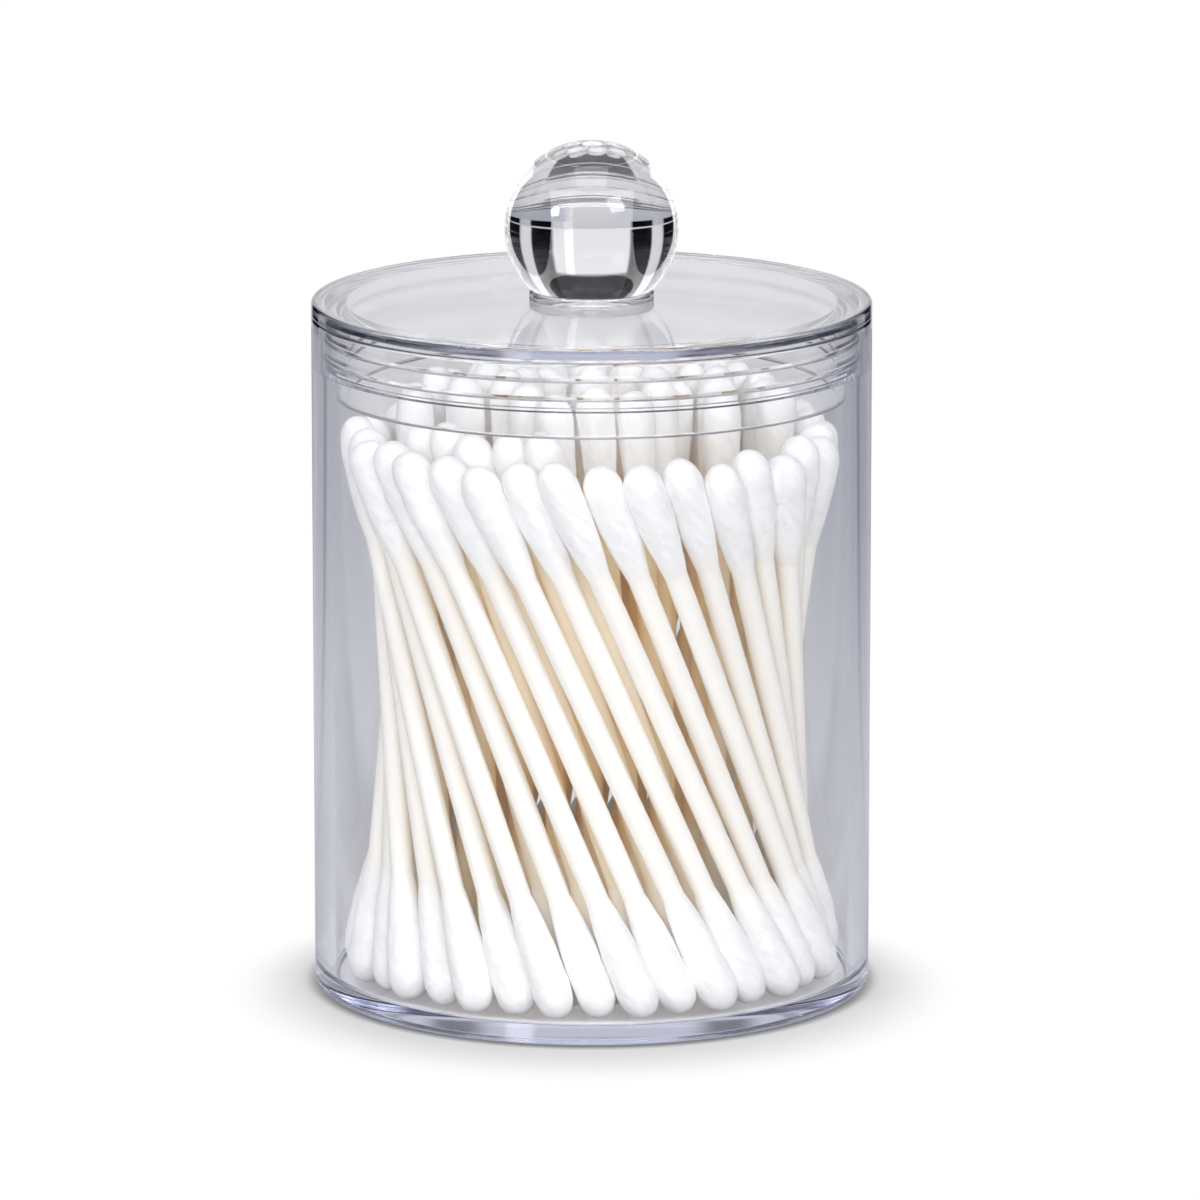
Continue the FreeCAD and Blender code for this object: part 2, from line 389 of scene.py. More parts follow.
def handling_group():
    """Faint smudges and hairline scuffs on clear plastic, and the gentle waves of its moulding."""
    group, given, gives = node_group(
        "handling",
        [("Place", VECTOR, None), ("Smudge", FLOAT, 0.03), ("Clear Tint", COLOUR, (1, 1, 1, 1)),
         ("Worn Tint", COLOUR, (0.95, 0.95, 0.96, 1))],
        [("Tint", COLOUR), ("Roughness", FLOAT), ("Height", FLOAT)],
    )
    smears = add(group, "ShaderNodeTexNoise", {
        "Vector": given["Place"], "Scale": 70.0, "Detail": 3.0, "Distortion": 0.6,
    }).outputs["Fac"]
    smear_mask = ramp(group, smears, 0.52, 0.78)
    long_place = add(group, "ShaderNodeVectorMath", {0: given["Place"], 1: (1.0, 1.0, 0.05)},
                     operation="MULTIPLY").outputs["Vector"]
    hairs = add(group, "ShaderNodeTexNoise", {
        "Vector": long_place, "Scale": 1400.0, "Detail": 2.0,
    }).outputs["Fac"]
    hair_mask = all_of(group, ramp(group, hairs, 0.66, 0.74), smear_mask)
    worn = most_of(group, maths(group, "MULTIPLY", smear_mask, 0.5), hair_mask)
    waves = add(group, "ShaderNodeTexNoise", {
        "Vector": given["Place"], "Scale": 45.0, "Detail": 1.0,
    }).outputs["Fac"]
    group.links.new(mixed(group, worn, given["Clear Tint"], given["Worn Tint"]), gives["Tint"])
    group.links.new(maths(group, "MULTIPLY", worn, given["Smudge"]), gives["Roughness"])
    group.links.new(waves, gives["Height"])
    return group


BUNDLE_DEPTH = bundle_depth_group()
WOUND_FIBRE = wound_fibre_group()
HANDLING = handling_group()


# ---------------------------------------------------------------- materials

def new_material(name):
    material = bpy.data.materials.new(name)
    material.use_nodes = True
    material.node_tree.nodes.clear()
    return material, material.node_tree


def object_place(tree):
    return add(tree, "ShaderNodeTexCoord").outputs["Object"]


def swab_value(tree, name, output):
    """A value that each corner of a swab's mesh keeps."""
    return add(tree, "ShaderNodeAttribute", attribute_name=name).outputs[output]


def swab_fibre(tree, scale, stretch, turn):
    return place(tree, WOUND_FIBRE, {
        "Place": swab_value(tree, "swab_place", "Vector"), "Lot": swab_value(tree, "swab_lot", "Fac"),
        "Scale": scale, "Stretch": stretch, "Turn": turn,
    })


def bundle_depth(tree, first_depth, last_depth):
    inputs = {"Place": object_place(tree), "From": first_depth, "To": last_depth}
    return place(tree, BUNDLE_DEPTH, inputs)["Depth"]


def clear_plastic(name, wave, smudge, depth_tint, top_haze=0.0):
    """Clear moulded plastic, faintly lavender where it is thick, hazier where it faces up. Lamps and soft
    light pass straight through."""
    material, tree = new_material(name)
    marks = place(tree, HANDLING, {
        "Place": object_place(tree), "Smudge": smudge,
        "Clear Tint": PLASTIC_TINT, "Worn Tint": PLASTIC_WORN_TINT,
    })
    bump = add(tree, "ShaderNodeBump", {
        "Strength": wave, "Distance": PLASTIC_WAVE_DEPTH, "Height": marks["Height"],
    })
    facing = axes_of(tree, add(tree, "ShaderNodeNewGeometry").outputs["Normal"])
    haze = maths(tree, "MULTIPLY", ramp(tree, facing["Z"], 0.97, 0.995), top_haze)
    body = add(tree, "ShaderNodeBsdfPrincipled", {
        "Base Color": marks["Tint"],
        "Roughness": maths(tree, "ADD", marks["Roughness"], haze),
        "IOR": PLASTIC_IOR,
        "Transmission Weight": 1.0,
        "Normal": bump.outputs["Normal"],
    })
    passing = add(tree, "ShaderNodeBsdfTransparent", {"Color": PLASTIC_PASSING})
    path = add(tree, "ShaderNodeLightPath")
    soft = add(tree, "ShaderNodeMixShader", {
        0: path.outputs["Is Diffuse Ray"], 1: body.outputs[0], 2: passing.outputs[0],
    })
    lit = add(tree, "ShaderNodeMixShader", {
        0: path.outputs["Is Shadow Ray"], 1: soft.outputs[0], 2: passing.outputs[0],
    })
    depth = add(tree, "ShaderNodeVolumeAbsorption", {"Color": PLASTIC_DEEP, "Density": depth_tint})
    add(tree, "ShaderNodeOutputMaterial", {"Surface": lit.outputs[0], "Volume": depth.outputs[0]})
    return material


def paper_material():
    """Rolled cream paper, with painted warm shade that deepens inside the bundle."""
    material, tree = new_material("rolled paper")
    grain = swab_fibre(tree, scale=2600.0, stretch=14.0, turn=30.0)
    lot = swab_value(tree, "swab_lot", "Fac")
    cream = mixed(tree, grain["Mask"], *PAPER_CREAMS)
    aged_share = maths(tree, "MULTIPLY", lot, 0.2)
    aged = mixed(tree, aged_share, cream, PAPER_AGED)
    # Painted shade: the paper turns tan, then deep orange, the deeper it lies inside the bundle.
    painted_shade = mixed(tree, bundle_depth(tree, 0.4 * MM, 5.5 * MM), aged, PAPER_PAINTED_SHADE)
    colour = mixed(tree, bundle_depth(tree, 6 * MM, 18 * MM), painted_shade, PAPER_PAINTED_DEEP_SHADE)
    bump = add(tree, "ShaderNodeBump", {
        "Strength": 0.25, "Distance": PAPER_GRAIN_DEPTH, "Height": grain["Height"],
    })
    body = add(tree, "ShaderNodeBsdfPrincipled", {
        "Base Color": colour, "Roughness": ramp(tree, grain["Height"], 0.2, 0.8, 0.55, 0.75),
        "Specular IOR Level": 0.3, "Normal": bump.outputs["Normal"],
    })
    add(tree, "ShaderNodeOutputMaterial", {"Surface": body.outputs[0]})
    return material


def cotton_material():
    """Wound white cotton, thinning over the paper at its lower end, with painted warm shade low inside the
    bundle.
    """
    material, tree = new_material("wound cotton")
    fibre = swab_fibre(tree, scale=1200.0, stretch=2.0, turn=160.0)
    cover = swab_value(tree, "cotton_cover", "Fac")
    white = mixed(tree, fibre["Mask"], *COTTON_WHITES)
    thinned = mixed(tree, fall(tree, cover, 0.0, 0.7), white, COTTON_THINNED)
    # Painted shade: cotton low and deep inside the bundle is tinted warm.
    low = ramp(tree, axes_of(tree, object_place(tree))["Z"], 25 * MM, 50 * MM, 0.9, 0.0)
    painted_shade_share = all_of(tree, bundle_depth(tree, 1.5 * MM, 8 * MM), low)
    colour = mixed(tree, painted_shade_share, thinned, COTTON_PAINTED_SHADE)
    bump = add(tree, "ShaderNodeBump", {
        "Strength": 0.9, "Distance": COTTON_GRAIN_DEPTH, "Height": fibre["Height"],
    })
    body = add(tree, "ShaderNodeBsdfPrincipled", {
        "Base Color": colour, "Roughness": ramp(tree, fibre["Height"], 0.2, 0.8, 0.85, 1.0),
        "Specular IOR Level": 0.1, "Sheen Weight": 0.2, "Sheen Roughness": 0.6,
        "Normal": bump.outputs["Normal"],
    })
    add(tree, "ShaderNodeOutputMaterial", {"Surface": body.outputs[0]})
    return material


# ---------------------------------------------------------------- turned plastic

def outline(corners):
    """A profile of (radius, height, rounding) corners as points, with each corner rounded."""
    points = []
    for i, (radius, height, rounding) in enumerate(corners):
        here = Vector((radius, height))
        if i in (0, len(corners) - 1):
            points.append(here)
            continue
        back = (Vector(corners[i - 1][:2]) - here).normalized()
        on = (Vector(corners[i + 1][:2]) - here).normalized()
        half = back.angle(on) / 2
        reach = rounding / math.tan(half)
        centre = here + (back + on).normalized() * (rounding / math.sin(half))
        first = here + back * reach - centre
        start = math.atan2(first.y, first.x)
        sweep = (math.pi - 2 * half) * (1 if back.x * on.y - back.y * on.x < 0 else -1)
        points.append(here + back * reach * ROUND_MARGIN)
        for step in range(ROUND_STEPS + 1):
            angle = start + sweep * step / ROUND_STEPS
            points.append(centre + Vector((math.cos(angle), math.sin(angle))) * rounding)
        points.append(here + on * reach * ROUND_MARGIN)
    return points


def skin(form, rings, material=0):
    """Faces between rings of corners. A ring of one corner closes the form there."""
    count = max(len(ring) for ring in rings)
    for low, high in zip(rings, rings[1:]):
        for step in range(count):
            after = (step + 1) % count
            corners = [low[step % len(low)], low[after % len(low)], high[after % len(high)],
                       high[step % len(high)]]
            form.faces.new(dict.fromkeys(corners)).material_index = material


def turn(name, points):
    """A closed solid turned about Z from a profile that starts and ends on the axis."""
    form = bmesh.new()
    angles = [math.tau * step / TURN_STEPS for step in range(TURN_STEPS)]
    rings = []
    for radius, height in points:
        if radius < ON_AXIS:
            rings.append([form.verts.new((0, 0, height))])
        else:
            rings.append([
                form.verts.new((radius * math.cos(a), radius * math.sin(a), height)) for a in angles
            ])
    skin(form, rings)
    bmesh.ops.recalc_face_normals(form, faces=form.faces)
    return as_object(name, form)


def as_object(name, form):
    mesh = bpy.data.meshes.new(name)
    form.to_mesh(mesh)
    form.free()
    mesh.shade_smooth()
    thing = bpy.data.objects.new(name, mesh)
    bpy.context.scene.collection.objects.link(thing)
    return thing


def make_jar():
    ledge = JAR_HEIGHT - REBATE_DEPTH
    rim = JAR_HEIGHT - SEAM
    return turn("jar_body", outline([
        (0, 0, 0),
        (JAR_RADIUS, 0, FOOT_ROUND),
        (JAR_RADIUS, rim, RIM_ROUND),
        (REBATE_RADIUS, rim, RIM_ROUND),
        (REBATE_RADIUS, ledge, MICRO_ROUND),
        (JAR_INNER_RADIUS, ledge, MICRO_ROUND),
        (JAR_INNER_RADIUS, FLOOR, FLOOR_CORNER_ROUND),
        (0, FLOOR, 0),
    ]))


def make_lid():
    """Disc, collar with two grip beads, and skirt, moulded in one."""
    corners = [
        (0, LID_TOP, 0),
        (JAR_RADIUS, LID_TOP, LID_TOP_ROUND),
        (JAR_RADIUS, JAR_HEIGHT, LID_UNDER_ROUND),
        (COLLAR_RADIUS, JAR_HEIGHT, MICRO_ROUND),
    ]
    for drop in BEAD_DROPS:
        bead = JAR_HEIGHT - drop
        corners += [
            (COLLAR_RADIUS, bead + BEAD_HALF_HEIGHT, MICRO_ROUND),
            (COLLAR_RADIUS + BEAD_STAND, bead, MICRO_ROUND),
            (COLLAR_RADIUS, bead - BEAD_HALF_HEIGHT, MICRO_ROUND),
        ]
    corners += [
        (COLLAR_RADIUS, COLLAR_FOOT, MICRO_ROUND),
        (SKIRT_RADIUS, COLLAR_FOOT, MICRO_ROUND),
        (SKIRT_RADIUS, SKIRT_FOOT, SKIRT_ROUND),
        (SKIRT_INNER_RADIUS, SKIRT_FOOT, SKIRT_ROUND),
        (SKIRT_INNER_RADIUS, JAR_HEIGHT, MICRO_ROUND),
        (0, JAR_HEIGHT, 0),
    ]
    return turn("lid_moulding", outline(corners))


def make_knob():
    """Solid ball on its low round foot."""
    foot_bottom = LID_TOP + SEAM
    seat_angle = math.asin((FOOT_TOP - BALL_CENTRE) / BALL_RADIUS)
    ball = [
        Vector((BALL_RADIUS * math.cos(a), BALL_CENTRE + BALL_RADIUS * math.sin(a)))
        for a in (lerp(math.pi / 2, seat_angle, step / BALL_STEPS) for step in range(BALL_STEPS))
    ]
    ball[0].x = 0
    foot = outline([
        (*ball[-1], 0),
        (BALL_RADIUS * math.cos(seat_angle), FOOT_TOP, MICRO_ROUND),
        (FOOT_RADIUS, FOOT_TOP, FOOT_EDGE_ROUND),
        (FOOT_RADIUS, foot_bottom, MICRO_ROUND),
        (0, foot_bottom, 0),
    ])
    return turn("knob_ball", ball[:-1] + foot)


# ---------------------------------------------------------------- swabs

def islands(form):
    """The corners of each separate solid in a form."""
    unseen = set(form.verts)
    for start in list(form.verts):
        if start not in unseen:
            continue
        unseen.discard(start)
        island, edge = [start], [start]
        while edge:
            for link in edge.pop().link_edges:
                for vert in link.verts:
                    if vert in unseen:
                        unseen.discard(vert)
                        island.append(vert)
                        edge.append(vert)
        yield island


def swab_lines(node):
    """Foot and head of each swab solid in a CAD node."""
    form = bmesh.new()
    form.from_mesh(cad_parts[node].data)
    bmesh.ops.remove_doubles(form, verts=form.verts, dist=SAME_CORNER)
    lines = []
    for island in islands(form):
        places = np.array([vert.co for vert in island])
        middle = (places.min(0) + places.max(0)) / 2
        far = places[np.argmax(((places - middle) ** 2).sum(1))]
        other = places[np.argmax(((places - far) ** 2).sum(1))]
        foot, head = sorted((far, other), key=lambda end: end[2])
        lines.append((Vector(foot), Vector(head)))
    form.free()
    return sorted(lines, key=lambda line: tuple(line[0]))


class SwabForm:
    """The mesh of one or more swabs. Each corner keeps its place on its own swab, its swab's lot, and how
    well cotton covers the paper there."""

    def __init__(self):
        self.form = bmesh.new()
        layers = self.form.verts.layers
        self.place = layers.float_vector.new("swab_place")
        self.lot = layers.float.new("swab_lot")
        self.cover = layers.float.new("cotton_cover")

    def corner(self, line, x, y, distance, lot, cover):
        foot, along, side, up = line
        vert = self.form.verts.new(foot + along * distance + side * x + up * y)
        vert[self.place] = (x, y, distance)
        vert[self.lot] = lot
        vert[self.cover] = cover
        return vert

    def tube(self, rings, line, lot, around, material):
        """Rings of (distance along, radius at an angle, cover) on a line, skinned. A ring without a
        radius is a single corner."""
        made = []
        for distance, radius_at, cover in rings:
            ring = []
            for step in range(around if radius_at else 1):
                angle = math.tau * step / around
                radius = radius_at(angle) if radius_at else 0.0
                x, y = radius * math.cos(angle), radius * math.sin(angle)
                ring.append(self.corner(line, x, y, distance, lot, cover))
            made.append(ring)
        skin(self.form, made, material)


def stick_radius(_angle):
    return STICK_RADIUS


def tip_radius(along, plumpness):
    """Radius of the cotton at a distance from the end of the tip."""
    widest = TIP_RADIUS * plumpness
    if along < TIP_DOME:
        return widest * (1 - (1 - along / TIP_DOME) ** TIP_BLUNTNESS) ** (1 / TIP_BLUNTNESS)
    share = (along - TIP_DOME) / (TIP_LENGTH - TIP_DOME)
    return lerp(widest, STICK_RADIUS + THIN_COTTON, share ** 2)


def wound_tip(dice, plumpness, offset, tip_rings):
    """Rings of cotton from the end of a tip to where it thins out on the stick, close together on the
    dome and further apart down the taper: for each its distance from the end, its radius and its cover."""
    oval = dice.uniform(*TIP_OVAL)
    oval_turn = dice.uniform(0, math.tau)
    lumps = dice.uniform(*TIP_LUMPS)

    def ring(share):
        distance = TIP_LENGTH * share
        base = tip_radius(distance, plumpness)
        cover = 1.0 if distance < TIP_DOME else min((base - STICK_RADIUS) / THICK_COTTON, 1.0)
        least = LEAST_COTTON if share > LEAST_COTTON_FROM else 0.0

        def radius_at(angle):
            x, y = math.cos(angle), math.sin(angle)
            coarse = Vector((x * LUMPS_AROUND, y * LUMPS_AROUND, distance / LUMP_LENGTH))
            fine = Vector((x * FINE_LUMPS_AROUND, y * FINE_LUMPS_AROUND, distance / FINE_LUMP_LENGTH))
            uneven = lumps * noise.noise(coarse + offset) + FINE_LUMPS * noise.noise(fine + offset)
            squeeze = 1 + oval * math.cos(2 * (angle - oval_turn)) + uneven
            return max(base * lerp(1.0, squeeze, cover), least)

        return distance, radius_at if share else None, cover

    return [ring((i / tip_rings) ** TIP_RING_SPACING) for i in range(tip_rings + 1)]


def add_swab(form, foot, head, dice, around, tip_rings, fibres):
    """A rolled paper stick and the cotton wound on its two ends."""
    along = (head - foot).normalized()
    side = along.orthogonal().normalized()
    line = (foot, along, side, along.cross(side))
    length = (head - foot).length
    lot = dice.random()
    offset = Vector((dice.uniform(0, 9), dice.uniform(0, 9), dice.uniform(0, 9)))
    form.tube([
        (lerp(STICK_INSET, length - STICK_INSET, step / STICK_STEPS), stick_radius, 0.0)
        for step in range(STICK_STEPS + 1)
    ], line, lot, around, PAPER)
    for at_head in (False, True):
        plumpness = dice.uniform(*TIP_PLUMPNESS)
        rings = wound_tip(dice, plumpness, offset, tip_rings)
        if at_head:
            rings = [(length - distance, *rest) for distance, *rest in reversed(rings)]
        form.tube(rings, line, lot, around, COTTON)
        offset += NEXT_TIP_NOISE
        for _ in range(fibres):
            depth = dice.uniform(*FIBRE_DEPTH_MM) * MM
            start = (length - depth if at_head else depth, dice.uniform(0, math.tau))
            sweep = (dice.uniform(*FIBRE_REACH_MM) * MM, dice.uniform(*FIBRE_TURN))
            lift = dice.uniform(*FIBRE_LIFT_MM) * MM
            add_fibre(form, line, length, start, sweep, lift, plumpness, lot)


def add_fibre(form, line, length, start, sweep, lift, plumpness, lot):
    """One loose fibre that leaves the cotton and lies a little above it. Its start and sweep are a distance
    along the swab and an angle round it."""
    path = []
    for step in range(FIBRE_STEPS):
        share = step / (FIBRE_STEPS - 1)
        distance, angle = start[0] + sweep[0] * share, start[1] + sweep[1] * share
        depth = distance if distance < SWAB_LENGTH / 2 else length - distance
        arch = lift * math.sin(FIBRE_ARCH * share)
        radius = tip_radius(max(depth, FIBRE_LEAST_DEPTH), plumpness) - FIBRE_ROOT + arch
        path.append(Vector((radius * math.cos(angle), radius * math.sin(angle), distance)))
    rings = []
    for step, spot in enumerate(path):
        onward = (path[min(step + 1, FIBRE_STEPS - 1)] - path[max(step - 1, 0)]).normalized()
        first = onward.orthogonal().normalized()
        second = onward.cross(first)
        ring = []
        for angle in (0, math.tau / 3, math.tau * 2 / 3):
            local = spot + (first * math.cos(angle) + second * math.sin(angle)) * FIBRE_RADIUS
            ring.append(form.corner(line, *local, lot, 1.0))
        rings.append(ring)
    skin(form.form, rings, COTTON)


def make_swabs(node, dice, materials):
    """Every swab of one CAD node. The outer row is in plain sight and gets the finer mesh."""
    form = SwabForm()
    detail = OUTER_SWAB_DETAIL if node.startswith("swab_") else INNER_SWAB_DETAIL
    for foot, head in swab_lines(node):
        add_swab(form, foot, head, dice, *detail)
    bmesh.ops.recalc_face_normals(form.form, faces=form.form.faces)
    swabs = as_object("cotton_" + node, form.form)
    for material in materials:
        swabs.data.materials.append(material)
    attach(swabs, "jar")
    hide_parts(node)


# ---------------------------------------------------------------- stage, light and camera

def sharp_backdrop(group, given, axes, aside, turned, right):
    """The backdrop without its cards: pale, with one bright strip where it is seen through a wall, greyer
    to the sides, near black high up, and dark grey in front, where only mirror images look."""
    strip = angle_band(group, turned, *STRIP_DEG, blur_deg=0.7)
    backdrop = mixed(group, given["Wall"], BACKDROP, mixed(group, strip, INNER_BACKDROP, WHITE))
    side_shift = maths(group, "MULTIPLY", given["Cards"], math.radians(SIDE_SHIFT_DEG))
    side = angle_ramp(group, maths(group, "SUBTRACT", aside, side_shift), *SIDE_DEG)
    backdrop = mixed(group, side, backdrop, mixed(group, right, SIDE_GREY, DIM_SIDE_GREY))
    raised = maths(group, "GREATER_THAN", given["Rise"], RAISED_RISE)
    mirrored = most_of(group, without(group, given["Wall"]), all_of(group, given["Guided"], raised))
    in_front = maths(group, "LESS_THAN", axes["Y"], 0.0)
    backdrop = mixed(group, all_of(group, in_front, mirrored), backdrop, FRONT_GREY)
    above = all_of(group, ramp(group, given["Rise"], *ABOVE_FOOT_RISE),
                   fall(group, given["Rise"], *ABOVE_TOP_RISE),
                   without(group, angle_ramp(group, aside, *ABOVE_SIDE_DEG)))
    straight = maths(group, "SUBTRACT", given["Wall"], given["Guided"])
    return mixed(group, all_of(group, above, straight), backdrop, ABOVE_BACKDROP)


def sharp_cards(group, given, aside):
    """The black cards: two on each side for light that passes straight through, others for light that is
    guided along inside the plastic."""
    near = angle_band(group, aside, *NEAR_CARD_DEG, blur_deg=1.0)
    far = angle_band(group, aside, *FAR_CARD_DEG, blur_deg=1.5)
    straight = all_of(group, most_of(group, near, far), given["Cards"], without(group, given["Guided"]))
    low = all_of(group, angle_band(group, aside, *LOW_GUIDED_CARD_DEG, blur_deg=2.0), given["Guided Cards"],
                 fall(group, given["Rise"], *LOW_GUIDED_TOP_RISE))
    high = all_of(group, angle_band(group, aside, *HIGH_GUIDED_CARD_DEG, blur_deg=3.0),
                  ramp(group, given["Rise"], *HIGH_GUIDED_FOOT_RISE),
                  ramp(group, given["Rise"], *HIGH_GUIDED_TOP_RISE, HIGH_GUIDED_CARD, 0.0))
    slim = angle_band(group, aside, *SLIM_GUIDED_CARD_DEG, blur_deg=1.0)
    slim = maths(group, "MULTIPLY", slim, SLIM_GUIDED_CARD)
    guided = all_of(group, most_of(group, low, high, slim), given["Guided"])
    return most_of(group, straight, guided)


def studio_group():
    """What clear plastic shows of the studio: a pale backdrop with dark cards on both sides of it. Seen
    through the jar's two walls the cards are soft grey, and alike from four sides."""
    group, given, gives = node_group(
        "studio",
        [("Place", VECTOR, None), ("Rise", FLOAT, 0.0), ("Cards", FLOAT, 1.0), ("Wall", FLOAT, 0.0),
         ("Guided", FLOAT, 0.0), ("Guided Cards", FLOAT, 1.0), ("Two Walls", FLOAT, 0.0)],
        [("Colour", COLOUR)],
    )
    axes = axes_of(group, given["Place"])
    to_side, to_back = (maths(group, "ABSOLUTE", axes[axis]) for axis in ("X", "Y"))
    aside = maths(group, "ARCTAN2", to_side, to_back)
    turned = maths(group, "ARCTAN2", axes["X"], to_back)
    right = ramp(group, turned, -HALF_TURN_BLUR, HALF_TURN_BLUR)
    backdrop = sharp_backdrop(group, given, axes, aside, turned, right)
    sharp_view = mixed(group, sharp_cards(group, given, aside), backdrop, CARD_BLACK)
    folded = maths(group, "MINIMUM", aside, maths(group, "SUBTRACT", math.pi / 2, aside))
    soft_grey = mixed(group, right, SOFT_GREY, DIM_SOFT_GREY)
    soft_view = mixed(group, angle_ramp(group, folded, *SOFT_SIDE_DEG), BACKDROP, soft_grey)
    soft_card = angle_band(group, folded, *SOFT_CARD_DEG, blur_deg=2.5)
    soft_view = mixed(group, soft_card, soft_view, SOFT_CARD)
    group.links.new(mixed(group, given["Two Walls"], sharp_view, soft_view), gives["Colour"])
    return group


STUDIO = studio_group()


def ray_masks(tree):
    """Masks by a ray's way so far. Plastic: the camera sent it through or off the plastic, and it has had no
    soft bounce. Wall, two walls, more walls: it has entered one wall of plastic, a second, and a third.
    Guided: it has entered one and was turned back inside. Twice: it was turned back or mirrored twice.
    Camera: it comes straight from the camera."""
    path = add(tree, "ShaderNodeLightPath").outputs
    direct = maths(tree, "LESS_THAN", path["Diffuse Depth"], 0.5)
    off_or_through = most_of(tree, path["Is Glossy Ray"], path["Is Transmission Ray"])
    wall, two_walls, more_walls = (
        maths(tree, "GREATER_THAN", path["Transmission Depth"], depth) for depth in (0.5, 2.5, 4.5)
    )
    turned_back, twice = (
        maths(tree, "GREATER_THAN", path["Glossy Depth"], depth) for depth in (0.5, 1.5)
    )
    return {
        "plastic": all_of(tree, direct, off_or_through), "guided": all_of(tree, wall, turned_back),
        "wall": wall, "two walls": two_walls, "more walls": more_walls, "twice": twice,
        "camera": path["Is Camera Ray"],
    }


def floor_in_plastic(tree, spot, reach, ray):
    """The floor as the plastic shows it: the studio's pattern, with painted light near the jar and a dark mat
    behind.
    """
    studio = place(tree, STUDIO, {
        "Place": spot, "Rise": FLOOR_RISE, "Wall": ray["wall"], "Guided": ray["guided"],
        "Two Walls": ray["two walls"], "Cards": ramp(tree, reach, *CARD_REACH),
        "Guided Cards": most_of(tree, ray["twice"], ramp(tree, reach, *GUIDED_CARD_REACH)),
    })
    whitened = maths(tree, "MULTIPLY", ray["more walls"], DEEP_FLOOR_WHITE)
    shown = mixed(tree, whitened, studio["Colour"], WHITE)
    # Painted light: a paler pool on the floor near the jar.
    shown = mixed(tree, ramp(tree, reach, *PAINTED_POOL_REACH, PAINTED_POOL_SHARE, 0.0), shown, PAINTED_LIGHT_POOL)
    slant = maths(tree, "DIVIDE", maths(tree, "ABSOLUTE", axes_of(tree, spot)["X"]), reach)
    mat = all_of(tree, ramp(tree, reach, *MAT_START), fall(tree, reach, *MAT_END), ray["more walls"],
                 fall(tree, slant, *MAT_SLANT))
    return mixed(tree, mat, shown, MAT_BLACK)


def make_floor():
    """A pale floor, white to the eye, with the jar's soft shadow, partly painted near the jar."""
    form = bmesh.new()
    bmesh.ops.create_circle(form, cap_ends=True, segments=128, radius=FLOOR_SHEET_RADIUS)
    floor = as_object("studio_floor", form)
    floor.location.z = -FLOOR_SHEET_DROP
    material, tree = new_material("pale floor")
    ray = ray_masks(tree)
    spot = object_place(tree)
    reach = length_of(tree, spot)
    # Painted shadow: grey floor near the jar, darker still in a ring at its foot.
    pale = mixed(tree, ramp(tree, reach, *PAINTED_CONTACT_REACH), PAINTED_CONTACT_SHADOW, FLOOR_PAINTED_SHADOW)
    shown = floor_in_plastic(tree, spot, reach, ray)
    sheet = add(tree, "ShaderNodeBsdfDiffuse", {"Color": mixed(tree, ray["plastic"], pale, shown)})
    # Painted light: the floor under the jar glows for rays seen through two walls of plastic.
    painted_glow = add(tree, "ShaderNodeEmission", {
        "Color": (*WHITE, 1.0),
        "Strength": all_of(tree, ray["plastic"], ray["two walls"], ramp(tree, reach, *PAINTED_UNDER_JAR_REACH, PAINTED_UNDER_JAR_LIGHT, 0.0)),
    })
    near = add(tree, "ShaderNodeAddShader", {0: sheet.outputs[0], 1: painted_glow.outputs[0]})
    white = add(tree, "ShaderNodeEmission", {"Color": (*WHITE, 1.0), "Strength": 1.0})
    ahead = add(tree, "ShaderNodeVectorMath", {0: spot, 1: (0.0, SHADOW_FORWARD, 0.0)}, operation="ADD")
    away = ramp(tree, length_of(tree, ahead.outputs["Vector"]), *SHADOW_REACH)
    both = add(tree, "ShaderNodeMixShader", {
        0: all_of(tree, away, ray["camera"]), 1: near.outputs[0], 2: white.outputs[0],
    })
    add(tree, "ShaderNodeOutputMaterial", {"Surface": both.outputs[0]})
    floor.data.materials.append(material)


def make_world():
    """Even light all round, white to the eye."""
    world = bpy.data.worlds.new("studio")
    bpy.context.scene.world = world
    world.use_nodes = True
    tree = world.node_tree
    tree.nodes.clear()
    ray = ray_masks(tree)
    direction = add(tree, "ShaderNodeTexCoord").outputs["Generated"]
    rise = axes_of(tree, direction)["Z"]
    studio = place(tree, STUDIO, {
        "Place": direction, "Rise": rise, "Wall": ray["wall"], "Guided": ray["guided"], "Two Walls": 0.0,
        "Cards": all_of(tree, ramp(tree, rise, *CARD_FOOT_RISE), fall(tree, rise, *CARD_TOP_RISE)),
    })
    blackened = maths(tree, "MULTIPLY", ray["more walls"], DEEP_ROOM_BLACK)
    shown = mixed(tree, blackened, studio["Colour"], CARD_BLACK)
    ambient = mixed(tree, ray["plastic"], AMBIENT, shown)
    seen = mixed(tree, ray["camera"], ambient, WHITE)
    background = add(tree, "ShaderNodeBackground", {"Color": seen, "Strength": 1.0})
    add(tree, "ShaderNodeOutputWorld", {"Surface": background.outputs[0]})


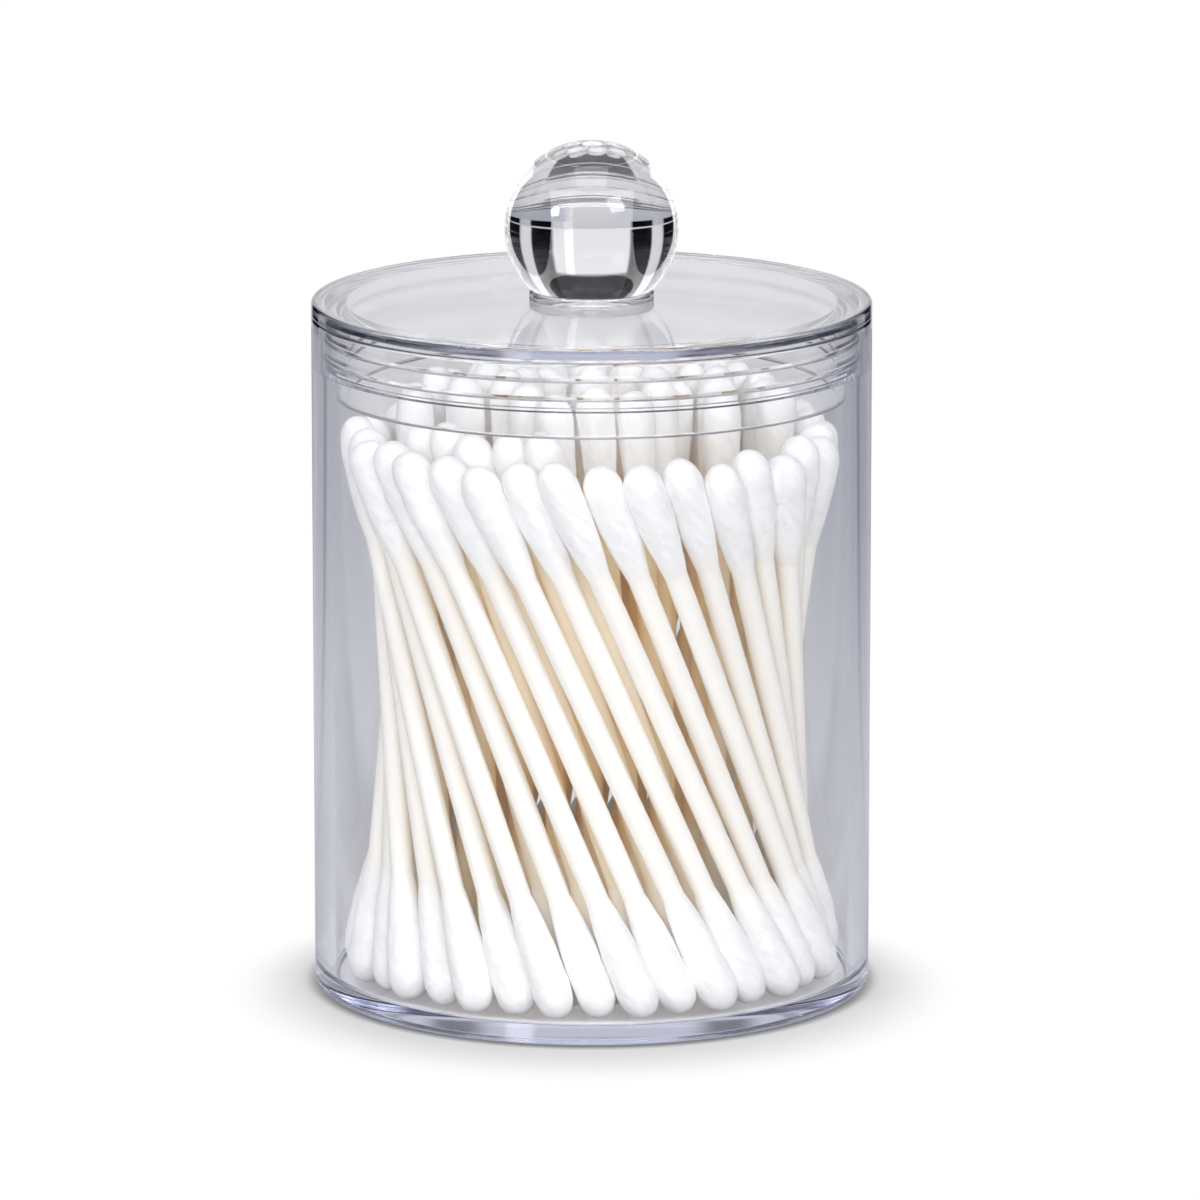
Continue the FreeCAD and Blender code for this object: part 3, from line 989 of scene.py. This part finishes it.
def softbox(name, azimuth_deg, elevation_deg, distance, size, watts, shape="SQUARE", glint=True):
    """A soft lamp aimed at the middle of the canister. Azimuth 0 is in front, positive to the right. One
    without a glint isn't mirrored in the plastic."""
    lamp = bpy.data.lights.new(name, "AREA")
    lamp.shape = shape
    lamp.size = size
    lamp.energy = watts
    thing = bpy.data.objects.new(name, lamp)
    azimuth, elevation = math.radians(azimuth_deg), math.radians(elevation_deg)
    away = Vector((math.sin(azimuth) * math.cos(elevation), -math.cos(azimuth) * math.cos(elevation),
                   math.sin(elevation)))
    thing.location = Vector((0, 0, JAR_HEIGHT / 2)) + away * distance
    thing.rotation_euler = away.to_track_quat("Z", "Y").to_euler()
    thing.visible_camera = False
    thing.visible_glossy = glint
    bpy.context.scene.collection.objects.link(thing)


def make_camera():
    camera = bpy.data.cameras.new("camera")
    camera.lens = CAMERA_LENS
    camera.sensor_width = SENSOR_WIDTH
    camera.clip_start = 0.01
    camera.clip_end = 20
    thing = bpy.data.objects.new("camera", camera)
    thing.location = (CAMERA_ASIDE, -CAMERA_DISTANCE, CAMERA_HEIGHT)
    thing.rotation_euler = (math.radians(90 - CAMERA_PITCH_DEG), 0, 0)
    bpy.context.scene.collection.objects.link(thing)
    bpy.context.scene.camera = thing


# ---------------------------------------------------------------- the canister

make_camera()

jar_plastic = clear_plastic("clear jar plastic", wave=0.10, smudge=0.05, depth_tint=4.5)
lid_plastic = clear_plastic("clear lid plastic", wave=0.12, smudge=0.06, depth_tint=4.5, top_haze=0.05)
knob_plastic = clear_plastic("clear knob plastic", wave=0.05, smudge=0.03, depth_tint=0.8)
for moulding, node, body, material in (
    (make_jar(), "jar", "jar", jar_plastic),
    (make_lid(), "lid", "lid", lid_plastic),
    (make_knob(), "knob", "lid", knob_plastic),
):
    moulding.data.materials.append(material)
    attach(moulding, body)
    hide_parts(node)

swab_materials = (paper_material(), cotton_material())
swab_dice = random.Random(SWAB_SEED)
for node in sorted(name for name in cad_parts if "swab" in name):
    make_swabs(node, swab_dice, swab_materials)

make_floor()
make_world()
softbox("key_softbox", azimuth_deg=39, elevation_deg=38, distance=1.1, size=0.36, watts=3.2)
softbox("front_softbox", azimuth_deg=0, elevation_deg=14, distance=1.4, size=0.9, watts=10.5, glint=False)
softbox("round_softbox", azimuth_deg=-54, elevation_deg=27, distance=1.1, size=0.24, watts=2.4, shape="DISK")
softbox("top_softbox", azimuth_deg=0, elevation_deg=80, distance=1.2, size=0.7, watts=4.4)

scene = bpy.context.scene
scene.view_settings.view_transform = "Standard"
scene.cycles.max_bounces = 32
scene.cycles.diffuse_bounces = 12
scene.cycles.glossy_bounces = 20
scene.cycles.transmission_bounces = 24
scene.cycles.transparent_max_bounces = 24
